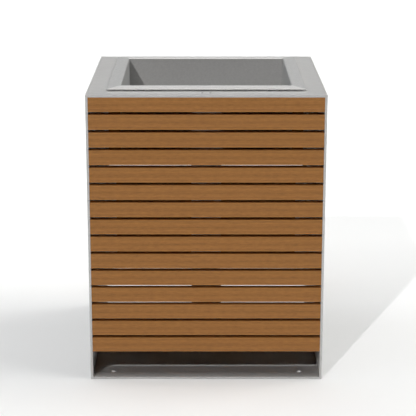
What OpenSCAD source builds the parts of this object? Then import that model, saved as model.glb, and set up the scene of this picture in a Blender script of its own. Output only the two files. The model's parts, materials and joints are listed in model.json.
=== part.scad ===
// Slatted litter bin: a steel portal frame with fixed front slats, a lockable slatted
// rear door, and a lift-out litter container hung in the top.
// Millimetres, +Z up. The origin is on the ground, at the centre of the footprint.
// The fixed front faces -Y and the service door faces +Y.

/* [Frame] */
// Overall width, across the side plates
body_w = 600; // [560:1:640]
// Overall depth
body_d = 600; // [560:1:640]
// Height to the top plate's upper face
body_h = 750; // [747:1:753]
// Thickness of the side, top and base plates
plate_t = 6; // [5:0.5:8]
// Depth of each base strip
strip_d = 80; // [60:1:100]
// Diameter of the ground fixing holes
fixing_d = 12; // [8:1:16]
// Distance of the fixing holes from the side plates' inner faces
fixing_inset = 50; // [30:1:90]

/* [Slats] */
// Number of slats in the front, and in the door
slat_count = 15; // [15:1:15]
// Height of a slat (the top one is planed down to fit under the top plate)
slat_h = 37.5; // [36:0.5:38]
// Thickness of a slat
slat_t = 19; // [17:0.5:20]
// Distance from one slat to the next
slat_pitch = 45.05; // [44.9:0.05:45.1]
// Height of the lowest slats' undersides above the ground
slat_base_z = 76.8; // [75:0.1:78]
// Gap between a front slat's end and the side plate
slat_end_gap = 0.2; // [0.1:0.1:1]
// Width of the centre straps
strap_w = 75; // [60:1:90]
// Thickness of the centre straps and door stiles
strap_t = 5; // [4:0.5:6]

/* [Service door] */
// How far the door's slats stand in from the rear edge
door_recess = 0.5; // [0.5:0.5:3]
// Gap between the door and the top plate
door_top_gap = 1.2; // [1:0.1:2]
// Gap between the door's slat ends and the side plates
door_side_gap = 3.5; // [3.5:0.5:5]
// Distance of the hinge axis from the left plate's inner face
hinge_x_inset = 12; // [12:0.5:13]
// Distance of the hinge axis in from the slats' outer face
hinge_y_inset = 7; // [6.5:0.5:7]
// Diameter of the hinge pins
hinge_pin_d = 6; // [5:0.5:6]
// Width of the door's stiles
stile_w = 11.5; // [10:0.5:12]
// Gap between a stile and the side plate
stile_side_gap = 1; // [0.8:0.1:1.5]

/* [Lock] */
// Distance of the lock's axis from the right plate's inner face
lock_inset = 32; // [30:1:36]
// Diameter of the lock's barrel
lock_barrel_d = 18; // [16:1:20]
// Length of the cam from the lock's axis to its tip
cam_reach = 22; // [20:1:24]

/* [Container] */
// Outer size of the container's rim
rim_w = 500; // [490:1:510]
// Clear size inside the container
mouth_w = 430; // [420:1:440]
// Sheet thickness of the container
container_t = 3; // [2:0.5:3]
// Height of the container's underside above the ground
container_bottom = 575; // [560:1:590]
// Height of the rim's inner edge above the top plate
rim_rise = 9.5; // [9:0.5:10]

/* [Hidden] */
$fn = 48;
steel = [0.71, 0.71, 0.70];
bright_steel = [0.80, 0.80, 0.78];
dark_steel = [0.45, 0.45, 0.46];
timber = [0.57, 0.40, 0.23];
black_rubber = [0.08, 0.08, 0.08];
nylon = [0.85, 0.84, 0.80];

front_y = -body_d / 2;
rear_y = body_d / 2;
inner_x = body_w / 2 - plate_t;
roof_z = body_h - plate_t;
strip_mid = strip_d / 2;
press_gap = 0.02;
running_gap = 0.05;
// How far a cutting shape runs past the face that it cuts
cut = 1;

// Underside of slat i, counted from the top
function slat_z(i) = slat_base_z + (slat_count - i) * slat_pitch;
function slat_mid_z(i) = slat_z(i) + slat_h / 2;
function slat_top_z(i, roof) = min(slat_z(i) + slat_h, roof);

// Front panel
front_back_y = front_y + slat_t;
front_top_gap = 0.3;
front_top_z = roof_z - front_top_gap;
angle_w = 14;
angle_d = 30;
angle_t = 3;
angle_screw_x = inner_x - 8.5;
strap_screw_x = 25;
tab_d = 22;
rivet_x = 10;
rivet_y = front_back_y + 9;
rivet_r = 2;
rivet_head_r = 2.6;
rivet_head_t = 0.8;
rivet_tail_t = 1.5;

// Screws: shank and head, driven through 3 mm or 5 mm steel into a slat
screw_r = 1.75;
screw_head_r = 3.2;
screw_head_t = 1.8;
screw_bite = 11;
screw_tip_gap = 0.5;

// Door
door_out_y = rear_y - door_recess;
door_in_y = door_out_y - slat_t;
door_top_z = roof_z - door_top_gap;
door_slat_x = inner_x - door_side_gap;
stile_out_x = inner_x - stile_side_gap;
stile_in_x = stile_out_x - stile_w;
stile_screw_x = stile_in_x + 5;
cleat_w = 19.5;
cleat_t = 3;
cleat_in_x = stile_in_x - cleat_w;
cleat_screw_x = cleat_in_x + cleat_w / 2;
cleat_first = 9;
cleat_last = 14;
cleat_bottom_z = slat_mid_z(cleat_last) - slat_h / 4;
cleat_top_z = slat_z(cleat_first - 1);

// Hinge: a bracket on the side plate, a washer and an ear on the stile share one slat gap
hinge_x = -inner_x + hinge_x_inset;
hinge_y = door_out_y - hinge_y_inset;
hinge_gaps = [1, 14];
slat_gap = slat_pitch - slat_h;
bracket_t = 3;
bracket_r = 6;
bracket_lift = 0.4;
washer_t = 0.5;
washer_r = 5.5;
ear_lift = 0.1;
ear_t = 3.1;
ear_r = 5.5;
ear_root = 1;

// Lock
lock_x = inner_x - lock_inset;
lock_slat = 8;
lock_z = slat_mid_z(lock_slat);
lock_head_r = 12;
lock_head_t = 3;
lock_head_sunk = 2.6;
lock_core_r = 4;
lock_core_sunk = 0.4;
lock_nut_w = 22;
lock_nut_t = 4;
cam_t = 3;
cam_w = 14;
cam_gap = 0.3;
barrel_end_y = door_in_y - 10;
head_y = door_out_y - lock_head_sunk;
cam_back_y = barrel_end_y - cam_gap;
strike_front_y = cam_back_y + cam_gap;
strike_t = 3;
strike_w = 18;
strike_h = 44;
key_r = 3;
key_depth = 6;

// Container
drop_in_gap = 2;
top_open_w = mouth_w + 2 * container_t + 2 * drop_in_gap;
fold_r = 4;
mouth_r = mouth_w / 2;
rim_r = rim_w / 2;
fold_x = mouth_r + fold_r;
fold_z = body_h + rim_rise - fold_r;
rim_tilt = 6.2;
rim_run = rim_r - fold_x;
rim_end_z = fold_z + fold_r / cos(rim_tilt) - rim_run * tan(rim_tilt);
rim_low_z = rim_end_z - container_t / cos(rim_tilt);
drain_at = 185;
drain_r = 4;
buffer_l = 30;
buffer_w = 8;
buffer_x = rim_r - 10;
buffer_along = 170;
buffer_gap = 0.3;

SLATS = [for (i = [1:slat_count]) i];
function two(i) = i < 10 ? str("0", i) : str(i);
function arc(cx, cy, r, from, to, n = 8) =
    [for (k = [0:n]) let (a = from + (to - from) * k / n) [cx + r * cos(a), cy + r * sin(a)]];

// A box given by its lowest and highest corners
module block(low, high) {
    translate(low) cube(high - low);
}

// A cylinder along +Y from y0 to y1
module bar_y(x, z, r, y0, y1) {
    translate([x, y0, z]) rotate([-90, 0, 0]) cylinder(r = r, h = y1 - y0);
}

// ---- Frame ----

module side_plate(side) {
    color(steel)
    translate([side * (inner_x + plate_t / 2), 0, body_h / 2])
        cube([plate_t, body_d, body_h], center = true);
}

module side_plate_left() { side_plate(-1); }
module side_plate_right() { side_plate(1); }

module top_plate() {
    color(steel)
    difference() {
        block([-inner_x, front_y, roof_z], [inner_x, rear_y, body_h]);
        translate([0, 0, roof_z + plate_t / 2])
            cube([top_open_w, top_open_w, plate_t + 2 * cut], center = true);
        for (x = [-rivet_x, rivet_x])
            translate([x, rivet_y, roof_z - cut])
                cylinder(r = rivet_r + press_gap, h = plate_t + 2 * cut);
    }
}

module base_strip(side) {
    color(steel)
    difference() {
        translate([0, side * (body_d / 2 - strip_mid), plate_t / 2])
            cube([2 * inner_x, strip_d, plate_t], center = true);
        for (x = [-1, 1])
            translate([x * (inner_x - fixing_inset), side * (body_d / 2 - strip_mid), -cut])
                cylinder(d = fixing_d, h = plate_t + 2 * cut);
    }
}

module base_strip_front() { base_strip(-1); }
module base_strip_rear() { base_strip(1); }

// ---- Front panel ----

front_screw_xs = [-angle_screw_x, -strap_screw_x, strap_screw_x, angle_screw_x];

module front_slat(i) {
    end_x = inner_x - slat_end_gap;
    color(timber)
    difference() {
        block([-end_x, front_y, slat_z(i)], [end_x, front_back_y, slat_top_z(i, front_top_z)]);
        for (x = front_screw_xs)
            bar_y(x, slat_mid_z(i), screw_r + press_gap, front_back_y - screw_bite, front_back_y + cut);
    }
}

module front_angle(side) {
    color(steel)
    difference() {
        union() {
            translate([side * (inner_x - angle_w / 2), front_back_y + angle_t / 2, 0])
                translate([-angle_w / 2, -angle_t / 2, slat_base_z])
                    cube([angle_w, angle_t, front_top_z - slat_base_z]);
            translate([side * (inner_x - angle_t / 2), front_back_y, slat_base_z])
                translate([-angle_t / 2, 0, 0])
                    cube([angle_t, angle_d, front_top_z - slat_base_z]);
        }
        for (i = SLATS)
            bar_y(side * angle_screw_x, slat_mid_z(i), screw_r + press_gap,
                front_back_y - cut, front_back_y + angle_t + cut);
    }
}

module front_angle_left() { front_angle(-1); }
module front_angle_right() { front_angle(1); }

// The centre strap is bent back at its top into a tab, riveted to the top plate
module front_strap() {
    color(steel)
    difference() {
        union() {
            block([-strap_w / 2, front_back_y, slat_base_z],
                [strap_w / 2, front_back_y + strap_t, roof_z]);
            block([-strap_w / 2, front_back_y, roof_z - strap_t],
                [strap_w / 2, front_back_y + tab_d, roof_z]);
        }
        for (i = SLATS, x = [-strap_screw_x, strap_screw_x])
            bar_y(x, slat_mid_z(i), screw_r + press_gap,
                front_back_y - cut, front_back_y + strap_t + cut);
        for (x = [-rivet_x, rivet_x])
            translate([x, rivet_y, roof_z - strap_t - cut])
                cylinder(r = rivet_r + press_gap, h = strap_t + 2 * cut);
    }
}

// A screw whose head sits on steel at head_y and whose shank runs in direction dir along Y
module slat_screw(x, z, head_y, grip, dir) {
    tip_y = head_y + dir * (grip + screw_bite - screw_tip_gap);
    back_y = head_y - dir * screw_head_t;
    bar_y(x, z, screw_r, min(head_y, tip_y), max(head_y, tip_y));
    bar_y(x, z, screw_head_r, min(head_y, back_y), max(head_y, back_y));
}

module front_slat_screws() {
    color(dark_steel)
    for (i = SLATS, x = front_screw_xs) {
        grip = abs(x) > strap_w ? angle_t : strap_t;
        slat_screw(x, slat_mid_z(i), front_back_y + grip, grip, -1);
    }
}

module strap_rivets() {
    color(dark_steel)
    for (x = [-rivet_x, rivet_x])
        translate([x, rivet_y, 0]) {
            translate([0, 0, roof_z - strap_t - rivet_tail_t])
                cylinder(r = rivet_head_r, h = rivet_tail_t);
            translate([0, 0, roof_z - strap_t]) cylinder(r = rivet_r, h = strap_t + plate_t);
            translate([0, 0, body_h]) cylinder(r = rivet_head_r, h = rivet_head_t);
        }
}

// ---- Service door ----

door_screw_xs = [-stile_screw_x, -strap_screw_x, strap_screw_x, stile_screw_x];
cleat_screw_xs = [-cleat_screw_x, cleat_screw_x];
function has_cleat(i) = i >= cleat_first && i <= cleat_last;
function slat_screw_xs(i) = has_cleat(i) ? concat(door_screw_xs, cleat_screw_xs) : door_screw_xs;
function grip_at(x) = abs(abs(x) - cleat_screw_x) < 1 ? cleat_t : strap_t;

module door_slat(i) {
    color(timber)
    difference() {
        block([-door_slat_x, door_in_y, slat_z(i)],
            [door_slat_x, door_out_y, slat_top_z(i, door_top_z)]);
        for (x = slat_screw_xs(i))
            bar_y(x, slat_mid_z(i), screw_r + press_gap, door_in_y - cut, door_in_y + screw_bite);
        if (i == lock_slat) {
            bar_y(lock_x, lock_z, lock_barrel_d / 2 + running_gap, door_in_y - cut, door_out_y + cut);
            bar_y(lock_x, lock_z, lock_head_r + running_gap, head_y, door_out_y + cut);
        }
    }
}

// A flat bar behind the slats, drilled for one screw into each slat in the list
module slat_bar(x0, x1, z0, z1, t, xs, slats) {
    difference() {
        block([x0, door_in_y - t, z0], [x1, door_in_y, z1]);
        for (i = slats, x = xs)
            bar_y(x, slat_mid_z(i), screw_r + press_gap, door_in_y - t - cut, door_in_y + cut);
    }
}

function hinge_gap_z(k) = slat_z(k) - slat_gap;
function ear_z(k) = hinge_gap_z(k) + bracket_lift + bracket_t + washer_t + ear_lift;

module hinge_ear(k) {
    translate([0, 0, ear_z(k)])
        difference() {
            union() {
                block([hinge_x - ear_r, door_in_y - ear_root, 0], [hinge_x + ear_r, hinge_y, ear_t]);
                translate([hinge_x, hinge_y, 0]) cylinder(r = ear_r, h = ear_t);
            }
            translate([hinge_x, hinge_y, -cut])
                cylinder(r = hinge_pin_d / 2 + running_gap, h = ear_t + 2 * cut);
        }
}

module door_stile_left() {
    color(steel)
    union() {
        slat_bar(-stile_out_x, -stile_in_x, slat_base_z, door_top_z, strap_t,
            [-stile_screw_x], SLATS);
        for (k = hinge_gaps) hinge_ear(k);
    }
}

module door_stile_right() {
    color(steel)
    slat_bar(stile_in_x, stile_out_x, slat_base_z, door_top_z, strap_t,
        [stile_screw_x], SLATS);
}

module door_strap() {
    color(steel)
    slat_bar(-strap_w / 2, strap_w / 2, slat_base_z, door_top_z, strap_t,
        [-strap_screw_x, strap_screw_x], SLATS);
}

module door_cleat_left() {
    color(steel)
    slat_bar(-stile_in_x, -cleat_in_x, cleat_bottom_z, cleat_top_z, cleat_t,
        [-cleat_screw_x], [cleat_first:cleat_last]);
}

module door_cleat_right() {
    color(steel)
    slat_bar(cleat_in_x, stile_in_x, cleat_bottom_z, cleat_top_z, cleat_t,
        [cleat_screw_x], [cleat_first:cleat_last]);
}

module door_slat_screws() {
    color(dark_steel)
    for (i = SLATS, x = slat_screw_xs(i))
        slat_screw(x, slat_mid_z(i), door_in_y - grip_at(x), grip_at(x), 1);
}

// ---- Hinge ----

module hinge_bracket(k) {
    color(steel)
    translate([0, 0, hinge_gap_z(k) + bracket_lift])
        difference() {
            union() {
                block([-inner_x, hinge_y - bracket_r, 0], [hinge_x, hinge_y + bracket_r, bracket_t]);
                translate([hinge_x, hinge_y, 0]) cylinder(r = bracket_r, h = bracket_t);
            }
            translate([hinge_x, hinge_y, -cut])
                cylinder(r = hinge_pin_d / 2 + press_gap, h = bracket_t + 2 * cut);
        }
}

module hinge_bracket_top() { hinge_bracket(hinge_gaps[0]); }
module hinge_bracket_bottom() { hinge_bracket(hinge_gaps[1]); }

module hinge_pins() {
    color(bright_steel)
    for (k = hinge_gaps)
        translate([hinge_x, hinge_y, hinge_gap_z(k) + bracket_lift])
            cylinder(d = hinge_pin_d, h = bracket_t + washer_t + ear_lift + ear_t);
}

module hinge_washers() {
    color(nylon)
    for (k = hinge_gaps)
        translate([hinge_x, hinge_y, hinge_gap_z(k) + bracket_lift + bracket_t])
            difference() {
                cylinder(r = washer_r, h = washer_t);
                translate([0, 0, -cut])
                    cylinder(r = hinge_pin_d / 2 + press_gap, h = washer_t + 2 * cut);
            }
}

// ---- Lock ----

module lock_body() {
    color(bright_steel)
    difference() {
        union() {
            bar_y(lock_x, lock_z, lock_head_r, head_y, head_y + lock_head_t);
            bar_y(lock_x, lock_z, lock_barrel_d / 2, barrel_end_y, head_y + lock_head_t / 2);
            translate([lock_x, door_in_y - lock_nut_t, lock_z]) rotate([-90, 0, 0])
                cylinder(d = lock_nut_w / cos(30), h = lock_nut_t, $fn = 6);
        }
        bar_y(lock_x, lock_z, lock_core_r + running_gap, barrel_end_y - cut, rear_y + cut);
    }
}

// The core turns in the barrel and carries the cam, which hangs down when unlocked
module lock_cam() {
    core_end_y = head_y + lock_head_t - lock_core_sunk;
    color(dark_steel)
    difference() {
        union() {
            bar_y(lock_x, lock_z, lock_core_r, cam_back_y - cam_t, core_end_y);
            bar_y(lock_x, lock_z, cam_w / 2, cam_back_y - cam_t, cam_back_y);
            bar_y(lock_x, lock_z - cam_reach + cam_w / 2, cam_w / 2, cam_back_y - cam_t, cam_back_y);
            block([lock_x - cam_w / 2, cam_back_y - cam_t, lock_z - cam_reach + cam_w / 2],
                [lock_x + cam_w / 2, cam_back_y, lock_z]);
        }
        translate([lock_x, core_end_y - key_depth, lock_z]) rotate([-90, 0, 0])
            cylinder(r = key_r, h = key_depth + cut, $fn = 3);
    }
}

// A tab on the right side plate that the cam turns in behind
module lock_strike() {
    color(steel)
    block([inner_x - strike_w, strike_front_y, lock_z - strike_h / 2],
        [inner_x, strike_front_y + strike_t, lock_z + strike_h / 2]);
}

// ---- Container ----

// Section of the folded sheet: x is the distance from the container's axis, y is the height
module container_section() {
    lean = 90 - rim_tilt;
    polygon(concat(
        [[mouth_r, container_bottom]],
        arc(fold_x, fold_z, fold_r, 180, lean),
        [[rim_r, rim_end_z], [rim_r, rim_low_z]],
        arc(fold_x, fold_z, fold_r - container_t, lean, 180, 4),
        [[mouth_r + container_t, container_bottom]]
    ));
}

// One side of the container, mitred at both ends; turn = 0 is the right-hand side
module container_panel(turn) {
    top_z = body_h + rim_rise + cut;
    rotate([0, 0, turn])
        intersection() {
            translate([0, rim_r, 0]) rotate([90, 0, 0]) linear_extrude(2 * rim_r) container_section();
            translate([0, 0, container_bottom - cut])
                linear_extrude(top_z - container_bottom + cut)
                    polygon([[0, 0], [rim_r + cut, -rim_r - cut], [rim_r + cut, rim_r + cut]]);
        }
}

module container_right() { color(bright_steel) container_panel(0); }
module container_rear() { color(bright_steel) container_panel(90); }
module container_left() { color(bright_steel) container_panel(180); }
module container_front() { color(bright_steel) container_panel(270); }

module container_floor() {
    color(bright_steel)
    difference() {
        translate([-mouth_r, -mouth_r, container_bottom])
            cube([2 * mouth_r, 2 * mouth_r, container_t]);
        for (x = [-drain_at, drain_at], y = [-drain_at, drain_at])
            translate([x, y, container_bottom - cut])
                cylinder(r = drain_r, h = container_t + 2 * cut);
    }
}

// Rubber buffers on the top plate, just inside the rim's edge and cut to the rim's slope
function buffer_top_z(x) = rim_low_z + (rim_r - x) * tan(rim_tilt) - buffer_gap;

module container_buffers() {
    x0 = buffer_x - buffer_w / 2;
    x1 = buffer_x + buffer_w / 2;
    color(black_rubber)
    for (turn = [0:90:270], along = [-buffer_along, buffer_along])
        rotate([0, 0, turn])
            translate([0, along + buffer_l / 2, 0]) rotate([90, 0, 0]) linear_extrude(buffer_l)
                polygon([[x0, body_h], [x1, body_h], [x1, buffer_top_z(x1)], [x0, buffer_top_z(x0)]]);
}

side_plate_left();
side_plate_right();
top_plate();
base_strip_front();
base_strip_rear();
for (i = SLATS) front_slat(i);
front_angle_left();
front_angle_right();
front_strap();
front_slat_screws();
strap_rivets();
for (i = SLATS) door_slat(i);
door_stile_left();
door_stile_right();
door_strap();
door_cleat_left();
door_cleat_right();
door_slat_screws();
hinge_bracket_top();
hinge_bracket_bottom();
hinge_pins();
hinge_washers();
lock_body();
lock_cam();
lock_strike();
container_front();
container_rear();
container_left();
container_right();
container_floor();
container_buffers();
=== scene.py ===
"""Looks, light and camera for the slatted litter bin. Metres, +Z up, the CAD model's own frame."""
import json
import math

import bpy
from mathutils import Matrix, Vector

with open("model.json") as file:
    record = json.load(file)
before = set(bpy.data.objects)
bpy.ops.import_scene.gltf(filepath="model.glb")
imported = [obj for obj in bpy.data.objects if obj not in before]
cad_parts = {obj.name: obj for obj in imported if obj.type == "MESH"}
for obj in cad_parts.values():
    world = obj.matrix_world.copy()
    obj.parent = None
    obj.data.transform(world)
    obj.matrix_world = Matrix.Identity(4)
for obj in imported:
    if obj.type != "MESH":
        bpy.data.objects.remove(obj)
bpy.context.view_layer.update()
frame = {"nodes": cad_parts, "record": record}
nodes = frame["nodes"]

MM = 0.001

# Camera: where the viewer stands, how far the view is tilted down, and its lens
EYE = Vector((-0.0065, -3.8598, 1.416))
TILT_DOWN = math.radians(15.014)
LENS = 126.5
SENSOR = 36.0
SHIFT_X = 0.0103

# Lights at a great distance: name, direction of travel, angular size in degrees, colour, strength
LIGHTS = [
    ("key_sun", (0.319, 0.762, -0.564), 0.8, (1.0, 0.99, 0.98), 1.04),
    ("softbox_top", (0.0, 0.0, -1.0), 60.0, (0.98, 0.98, 0.98), 1.32),
    ("softbox_right", (-0.643, 0.0, -0.766), 45.0, (1.0, 1.0, 0.97), 1.34),
    ("softbox_rear_left", (0.455, -0.455, -0.766), 45.0, (0.97, 0.99, 1.0), 0.10),
    ("softbox_left", (0.643, 0.0, -0.766), 45.0, (0.93, 0.98, 1.0), 0.36),
    ("softbox_front_left", (0.455, 0.455, -0.766), 45.0, (0.90, 0.97, 1.0), 0.10),
]
# Strength of the pale studio around it, on the viewer's side and on the far side, and where that fades
WORLD_FRONT = 0.05
WORLD_REAR = 0.25
WORLD_FADE = 0.8
LAMP_DISTANCE = 5.0
# Light that the floor gives off behind the object, where it fades to white: strength and reach in Y
FLOOR_GLOW = 0.18
GLOW_START = 0.1
GLOW_FULL = 1.0
FLOOR_LEVEL = 0.90
BACKDROP_LEVEL = 0.93

# Edge rounding: its widths, the angle from which it starts, and what counts as one point or one flat
PLATE_EDGE = 0.4 * MM
SLAT_EDGE = 0.9 * MM
SMALL_EDGE = 0.25 * MM
EDGE_ANGLE = math.radians(40)
SAME_POINT = 0.005 * MM
SAME_FLAT = math.radians(0.5)


# A face's normal has this Z where it counts as upright or as level, and less than this on a hole's wall
UPRIGHT_Z = 0.3
LEVEL_Z = 0.9
WALL_Z = 0.5
# A base strip's holes lie within this share of its depth on each side of its middle
BORE_ZONE = 0.4


# ---- Material tools ----

class Shader:
    """A node material, built one call at a time around its Principled shader."""

    def __init__(self, name):
        self.material = bpy.data.materials.new(name)
        self.material.use_nodes = True
        self.tree = self.material.node_tree
        self.surface = self.tree.nodes["Principled BSDF"]
        self.coords = self.tree.nodes.new("ShaderNodeTexCoord")
        self.position = self.coords.outputs["Object"]
        self.unit_box = self.coords.outputs["Generated"]
        self.facing = self.coords.outputs["Normal"]

    def node(self, kind, settings=None, **inputs):
        """A new node. Inputs are socket names with underscores, given a value or an output to link."""
        made = self.tree.nodes.new(kind)
        for key, value in (settings or {}).items():
            setattr(made, key, value)
        for key, value in inputs.items():
            self.put(made, key.replace("_", " "), value)
        return made

    def put(self, target, socket, value):
        if isinstance(value, bpy.types.NodeSocket):
            self.tree.links.new(value, target.inputs[socket])
        else:
            target.inputs[socket].default_value = value

    def set(self, **inputs):
        """Values or links on the Principled shader."""
        for key, value in inputs.items():
            self.put(self.surface, key.replace("_", " "), value)

    def math(self, operation, a, b=0.0, c=0.0):
        made = self.node("ShaderNodeMath", {"operation": operation})
        for index, value in enumerate((a, b, c)):
            self.put(made, index, value)
        return made.outputs[0]

    def scaled(self, vector, scale):
        made = self.node("ShaderNodeVectorMath", {"operation": "MULTIPLY"})
        self.put(made, 0, vector)
        self.put(made, 1, scale)
        return made.outputs[0]

    def noise(self, scale, detail=2.0, roughness=0.5, stretch=(1.0, 1.0, 1.0), seed=0.0):
        """3-D noise around 0.5, with scale in features per metre."""
        vector = self.scaled(self.position, tuple(scale * s for s in stretch))
        made = self.node("ShaderNodeTexNoise", {"noise_dimensions": "4D"},
                         Vector=vector, W=seed, Scale=1.0, Detail=detail, Roughness=roughness)
        return made.outputs["Fac"]

    def remap(self, value, low, high, to_low, to_high):
        made = self.node("ShaderNodeMapRange", {"clamp": True}, Value=value)
        for socket, number in (("From Min", low), ("From Max", high),
                               ("To Min", to_low), ("To Max", to_high)):
            made.inputs[socket].default_value = number
        return made.outputs[0]

    def spread(self, noise, low, high):
        """A noise, most of which lies between 0.3 and 0.7, stretched from low to high."""
        return self.remap(noise, 0.3, 0.7, low, high)

    def split(self, vector, axis):
        return self.node("ShaderNodeSeparateXYZ", Vector=vector).outputs[axis]

    def ramp(self, value, stops):
        """A grey ramp through (position, level) stops."""
        made = self.node("ShaderNodeValToRGB", Fac=value)
        elements = made.color_ramp.elements
        while len(elements) < len(stops):
            elements.new(0.5)
        for element, (position, level) in zip(elements, stops):
            element.position = position
            element.color = (level, level, level, 1.0)
        return made.outputs["Color"]

    def mix(self, factor, a, b):
        made = self.node("ShaderNodeMix", {"data_type": "RGBA"})
        self.put(made, 0, factor)
        self.put(made, 6, a)
        self.put(made, 7, b)
        return made.outputs[2]

    def by_slope(self, upright, level):
        """One value on upright faces and another on faces that look up; the script uses it to paint
        light and shade by facing.
        """
        if upright == level:
            return level
        return self.remap(self.split(self.facing, "Z"), UPRIGHT_Z, LEVEL_Z, upright, level)

    def in_bores(self, outside, inside):
        """One value on a base strip and another in its holes: upright, and away from its long edges. It
        gives the holes' walls their painted light.
        """
        off_middle = self.math("ABSOLUTE", self.math("SUBTRACT", self.split(self.unit_box, "Y"), 0.5))
        off_edges = self.math("LESS_THAN", off_middle, BORE_ZONE)
        on_wall = self.math("LESS_THAN", self.split(self.facing, "Z"), WALL_Z)
        mask = self.math("MULTIPLY", off_edges, on_wall)
        made = self.node("ShaderNodeMix", {"data_type": "FLOAT"})
        for index, value in ((0, mask), (2, outside), (3, inside)):
            self.put(made, index, value)
        return made.outputs[0]

    def toned(self, colour, tone):
        """A fixed colour, made lighter or darker by a tone around 1."""
        made = self.node("ShaderNodeVectorMath", {"operation": "SCALE"})
        self.put(made, 0, colour)
        self.put(made, "Scale", tone)
        return made.outputs[0]

    def bump(self, height, distance, strength=1.0):
        made = self.node("ShaderNodeBump", Height=height, Distance=distance, Strength=strength)
        self.put(self.surface, "Normal", made.outputs[0])


def grey(level, warmth=0.0):
    """A grey, a little warmer or colder."""
    return (level * (1 + warmth), level, level * (1 - warmth))


# ---- Materials ----

# Level and metallic of the plates: upper faces, upright faces, and the walls of the fixing holes. Upper
# and upright faces differ as painted light and shade by facing; the pale, matt hole walls are painted
# light.
PLATE_TOP = (0.93, 0.88)
PLATE_UPRIGHT = (0.55, 0.40)
PLATE_BORE_PAINTED_LIGHT = (0.95, 0.0)
PLATE_FINISH = {"warmth": 0.010, "roughness": 0.55, "mottle": 0.020, "grain": 0.06}
# Level and metallic of the steel behind the slats
GALVANISED = (0.50, 0.55)


def grained_steel(name, top, upright, warmth, roughness, mottle, grain, bore=None):
    """Blasted steel plate: fine even grain over faint broad clouds.

    top, upright and bore are (level, metallic) on faces that look up, on upright faces, and on the
    walls of the holes in a base strip. Top and upright differ as painted light and shade by facing;
    the bore value is painted light in the holes.
    """
    s = Shader(name)
    fine = s.noise(520, detail=3.0, roughness=0.7, seed=1.0)
    clouds = s.noise(45, detail=3.0, roughness=0.6, seed=2.0)
    broad = s.noise(4, detail=1.0, seed=3.0)
    tone = s.math("ADD", s.spread(fine, -grain, grain), 1.0)
    tone = s.math("ADD", tone, s.spread(clouds, -mottle, mottle))
    tone = s.math("ADD", tone, s.spread(broad, -mottle / 2, mottle / 2))
    # Level and metallic by facing: painted light and shade.
    level, metallic = (s.by_slope(upright[k], top[k]) for k in (0, 1))
    # Pale, matt walls in the base strip's holes: painted light, standing in for the sunlit floor seen
    # through them.
    if bore:
        level, metallic = (s.in_bores(value, bore[k]) for k, value in enumerate((level, metallic)))
    s.set(Base_Color=s.toned(grey(1.0, warmth), s.math("MULTIPLY", tone, level)), Metallic=metallic)
    s.set(Roughness=s.spread(fine, roughness - 0.06, roughness + 0.06))
    s.bump(fine, 0.12 * MM, 0.6)
    return s.material


def brushed_steel(name, rim_level, wall_level, warmth, metallic, roughness, along):
    """Satin sheet, brushed along X (0) or Y (1). The upright walls and the rim get their own level and
    metallic as painted light and shade by facing.
    """
    s = Shader(name)
    stretch = tuple(0.02 if axis == along else 1.0 for axis in range(3))
    lines = s.noise(900, detail=2.0, roughness=0.6, stretch=stretch, seed=4.0)
    grain = s.noise(180, detail=3.0, roughness=0.7, seed=5.0)
    tone = s.math("ADD", s.spread(lines, 0.985, 1.015), s.spread(grain, -0.07, 0.07))
    # Rim and wall levels by facing: painted light and shade.
    tone = s.math("MULTIPLY", tone, s.by_slope(wall_level, rim_level))
    s.set(Base_Color=s.toned(grey(1.0, warmth), tone))
    s.set(Metallic=s.by_slope(0.0, metallic))
    s.set(Roughness=s.spread(lines, roughness - 0.05, roughness + 0.05))
    s.bump(lines, 0.05 * MM, 0.5)
    return s.material


# Oiled timber: how bright each band across a slat is, from its lower edge (0) to its upper (1). The
# bright stops at the lower edge are a painted highlight of light thrown up from the floor; the rest are
# grain bands.
TIMBER_BANDS_AND_EDGE_LIGHT = [(0.00, 1.18), (0.05, 1.14), (0.13, 0.92), (0.26, 1.10), (0.48, 0.88),
                (0.74, 1.11), (0.87, 0.93), (0.96, 1.04)]
TIMBER_COLOUR = (0.325, 0.138, 0.032)
TIMBER_PORE = (0.13, 0.048, 0.011)
# How far the bands wander, as a share of a slat's height, and how strongly each kind of grain shows
BAND_WANDER = 0.04
FLECK_TONE = 0.15
FIBRE_TONE = 0.08
STREAK_TONE = 0.05
PORE_SHARE = 0.35


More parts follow.
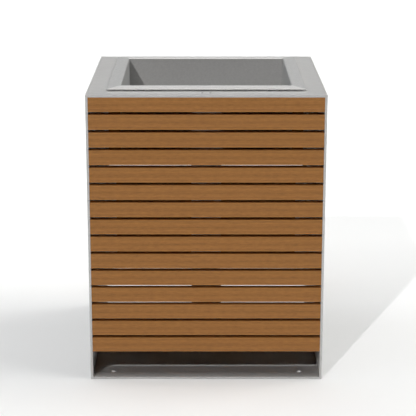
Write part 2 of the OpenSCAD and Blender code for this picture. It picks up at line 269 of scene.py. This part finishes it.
def oiled_timber(name):
    """Oiled hardwood slat: grain bands across its height with a painted highlight along its lower edge,
    straight grain and short pores along X.
    """
    s = Shader(name)
    wave = s.noise(1.0, detail=2.0, stretch=(14.0, 0.0, 60.0), seed=6.0)
    wavy = s.math("ADD", s.split(s.unit_box, "Z"), s.spread(wave, -BAND_WANDER, BAND_WANDER))
    # Grain bands, brighter at the lower edge as a painted highlight.
    bands = s.math("MULTIPLY", 2.0, s.ramp(wavy, [(at, level / 2) for at, level in TIMBER_BANDS_AND_EDGE_LIGHT]))
    flecks = s.noise(1.0, detail=3.0, roughness=0.6, stretch=(60.0, 260.0, 260.0), seed=7.0)
    fibres = s.noise(1.0, detail=3.0, roughness=0.65, stretch=(16.0, 1100.0, 1100.0), seed=7.5)
    streaks = s.noise(1.0, detail=2.0, stretch=(5.0, 260.0, 260.0), seed=8.0)
    pores = s.noise(1.0, detail=1.0, stretch=(110.0, 1900.0, 1900.0), seed=9.0)
    tone = s.math("ADD", bands, s.spread(flecks, -FLECK_TONE, FLECK_TONE))
    tone = s.math("ADD", tone, s.spread(fibres, -FIBRE_TONE, FIBRE_TONE))
    tone = s.math("ADD", tone, s.spread(streaks, -STREAK_TONE, STREAK_TONE))
    colour = s.toned(TIMBER_COLOUR, tone)
    pore_mask = s.remap(pores, 0.60, 0.72, 0.0, PORE_SHARE)
    s.set(Base_Color=s.mix(pore_mask, colour, (*TIMBER_PORE, 1.0)), Specular_IOR_Level=0.35)
    s.set(Roughness=s.spread(fibres, 0.50, 0.62))
    s.bump(s.math("SUBTRACT", fibres, pore_mask), 0.15 * MM, 0.5)
    return s.material


def plated_metal(name, level, warmth, roughness):
    """Small turned or pressed fittings: metal with faint machining grain."""
    s = Shader(name)
    marks = s.noise(1500, detail=3.0, roughness=0.6, stretch=(1.0, 1.0, 0.25), seed=10.0)
    dull = s.noise(120, detail=2.0, seed=11.0)
    s.set(Base_Color=s.toned(grey(level, warmth), s.spread(dull, 0.92, 1.05)), Metallic=1.0)
    s.set(Roughness=s.spread(marks, roughness - 0.06, roughness + 0.08))
    s.bump(marks, 0.03 * MM, 0.4)
    return s.material


def moulded(name, colour, roughness):
    """Rubber or nylon: a fine matt texture."""
    s = Shader(name)
    fine = s.noise(1200, detail=2.0, seed=12.0)
    s.set(Base_Color=s.toned(colour, s.spread(fine, 0.88, 1.08)))
    s.set(Roughness=s.spread(fine, roughness - 0.05, roughness + 0.05))
    s.bump(fine, 0.05 * MM, 0.4)
    return s.material


def studio_floor():
    """Plain pale floor, with a glow that rises behind the object."""
    s = Shader("studio_floor")
    cloud = s.noise(1.5, detail=2.0, seed=13.0)
    behind = s.split(s.position, "Y")
    s.set(Base_Color=s.toned(grey(FLOOR_LEVEL), s.spread(cloud, 0.995, 1.005)))
    s.set(Roughness=0.9, Specular_IOR_Level=0.0)
    s.set(Emission_Color=(1.0, 1.0, 1.0, 1.0))
    s.set(Emission_Strength=s.remap(behind, GLOW_START, GLOW_FULL, 0.0, FLOOR_GLOW))
    return s.material


def backdrop_paint():
    s = Shader("backdrop_paint")
    s.set(Base_Color=(0.0, 0.0, 0.0, 1.0), Roughness=1.0, Specular_IOR_Level=0.0)
    s.set(Emission_Color=(*grey(BACKDROP_LEVEL), 1.0), Emission_Strength=1.0)
    return s.material


def make_materials():
    return {
        "portal_steel": grained_steel("portal_steel", PLATE_TOP, PLATE_UPRIGHT, **PLATE_FINISH),
        "strip_steel": grained_steel("strip_steel", PLATE_TOP, PLATE_UPRIGHT, bore=PLATE_BORE_PAINTED_LIGHT,
                                     **PLATE_FINISH),
        "inner_steel": grained_steel("inner_steel", GALVANISED, GALVANISED,
                                     warmth=0.0, roughness=0.50, mottle=0.045, grain=0.05),
        # container_long and container_side are one steel; their different rim and wall levels are
        # painted light and shade.
        "container_long": brushed_steel("container_long", rim_level=0.89, wall_level=0.48, warmth=0.012,
                                        metallic=0.45, roughness=0.48, along=0),
        "container_side": brushed_steel("container_side", rim_level=0.69, wall_level=0.53, warmth=0.004,
                                        metallic=0.45, roughness=0.50, along=1),
        # The container floor is dark as painted shade: it throws little light back onto the container
        # walls, which deepens the shade on them.
        "container_base": brushed_steel("container_base", rim_level=0.18, wall_level=0.18, warmth=0.012,
                                        metallic=0.30, roughness=0.55, along=0),
        "timber": oiled_timber("timber"),
        "fasteners": plated_metal("fasteners", level=0.50, warmth=0.01, roughness=0.40),
        "pin_steel": plated_metal("pin_steel", level=0.60, warmth=0.0, roughness=0.28),
        "nylon": moulded("nylon", colour=(0.80, 0.79, 0.74), roughness=0.45),
        "lock_chrome": plated_metal("lock_chrome", level=0.62, warmth=0.0, roughness=0.22),
        "lock_cam_steel": plated_metal("lock_cam_steel", level=0.50, warmth=0.03, roughness=0.38),
        "rubber": moulded("rubber", colour=(0.025, 0.025, 0.025), roughness=0.75),
    }


def slot_names():
    return {p["node"]: p["material_slot"] for p in frame["record"]["subparts"]}


def material_for(node, slot):
    if node == "container_floor":
        return "container_base"
    if slot == "container_steel":
        return "container_side" if node in ("container_left", "container_right") else "container_long"
    if node.startswith("base_strip"):
        return "strip_steel"
    return slot


def dress(obj, material):
    obj.data.materials.clear()
    obj.data.materials.append(material)
    for polygon in obj.data.polygons:
        polygon.material_index = 0


def soften_edges(obj, width, segments):
    """Rounds a node's sharp edges with modifiers, which leave its mesh as it is."""
    weld = obj.modifiers.new("weld", "WELD")
    weld.merge_threshold = SAME_POINT
    flats = obj.modifiers.new("flats", "DECIMATE")
    flats.decimate_type = "DISSOLVE"
    flats.angle_limit = SAME_FLAT
    bevel = obj.modifiers.new("bevel", "BEVEL")
    bevel.width = width
    bevel.segments = segments
    bevel.limit_method = "ANGLE"
    bevel.angle_limit = EDGE_ANGLE
    normals = obj.modifiers.new("normals", "WEIGHTED_NORMAL")
    normals.keep_sharp = True


# Width and segments of the rounding, for each material slot that has it
EDGES = {
    "portal_steel": (PLATE_EDGE, 2),
    "timber": (SLAT_EDGE, 3),
    "container_steel": (SMALL_EDGE, 2),
    "inner_steel": (SMALL_EDGE, 2),
    "lock_chrome": (SMALL_EDGE, 2),
    "lock_cam_steel": (SMALL_EDGE, 2),
    "rubber": (SMALL_EDGE, 2),
}


def dress_nodes():
    materials = make_materials()
    slots = slot_names()
    for name, obj in nodes.items():
        slot = slots[name]
        dress(obj, materials[material_for(name, slot)])
        if slot in EDGES:
            soften_edges(obj, *EDGES[slot])


# ---- Studio ----

def make_floor():
    half, depth = 40.0, -0.2 * MM
    mesh = bpy.data.meshes.new("floor")
    corners = [(-half, -half, depth), (half, -half, depth), (half, half, depth), (-half, half, depth)]
    mesh.from_pydata(corners, [], [(0, 1, 2, 3)])
    mesh.materials.append(studio_floor())
    floor = bpy.data.objects.new("floor", mesh)
    bpy.context.scene.collection.objects.link(floor)


def make_backdrop():
    """A pale wall round the floor that only the camera sees, so that low views have no dark horizon."""
    sides, radius, foot, top = 48, 39.0, -0.1, 30.0
    turns = [2 * math.pi * i / sides for i in range(sides)]
    corners = [(math.cos(a) * radius, math.sin(a) * radius, z) for z in (foot, top) for a in turns]
    faces = [(i, (i + 1) % sides, sides + (i + 1) % sides, sides + i) for i in range(sides)]
    mesh = bpy.data.meshes.new("backdrop")
    mesh.from_pydata(corners, [], faces)
    mesh.materials.append(backdrop_paint())
    backdrop = bpy.data.objects.new("backdrop", mesh)
    backdrop.visible_diffuse = False
    backdrop.visible_glossy = False
    backdrop.visible_transmission = False
    backdrop.visible_shadow = False
    bpy.context.scene.collection.objects.link(backdrop)


def make_world():
    """A pale studio, brighter behind the object than behind the viewer."""
    world = bpy.data.worlds.new("studio")
    world.use_nodes = True
    tree = world.node_tree
    coords = tree.nodes.new("ShaderNodeTexCoord")
    split = tree.nodes.new("ShaderNodeSeparateXYZ")
    blend = tree.nodes.new("ShaderNodeMapRange")
    blend.interpolation_type = "SMOOTHSTEP"
    for socket, value in (("From Min", -WORLD_FADE), ("From Max", WORLD_FADE),
                          ("To Min", WORLD_FRONT), ("To Max", WORLD_REAR)):
        blend.inputs[socket].default_value = value
    tree.links.new(coords.outputs["Generated"], split.inputs[0])
    tree.links.new(split.outputs["Y"], blend.inputs["Value"])
    tree.links.new(blend.outputs[0], tree.nodes["Background"].inputs["Strength"])
    bpy.context.scene.world = world


def make_lights():
    for name, travel, size, colour, strength in LIGHTS:
        lamp = bpy.data.lights.new(name, "SUN")
        lamp.angle = math.radians(size)
        lamp.color = colour
        lamp.energy = strength
        obj = bpy.data.objects.new(name, lamp)
        obj.rotation_mode = "QUATERNION"
        obj.rotation_quaternion = Vector(travel).to_track_quat("-Z", "Y")
        obj.location = Vector(travel) * -LAMP_DISTANCE
        bpy.context.scene.collection.objects.link(obj)


def make_camera():
    data = bpy.data.cameras.new("camera")
    data.lens = LENS
    data.sensor_width = SENSOR
    data.shift_x = SHIFT_X
    camera = bpy.data.objects.new("camera", data)
    camera.location = EYE
    camera.rotation_euler = (math.pi / 2 - TILT_DOWN, 0.0, 0.0)
    bpy.context.scene.collection.objects.link(camera)
    bpy.context.scene.camera = camera


dress_nodes()
make_floor()
make_backdrop()
make_world()
make_lights()
make_camera()
bpy.context.scene.view_settings.view_transform = "Standard"
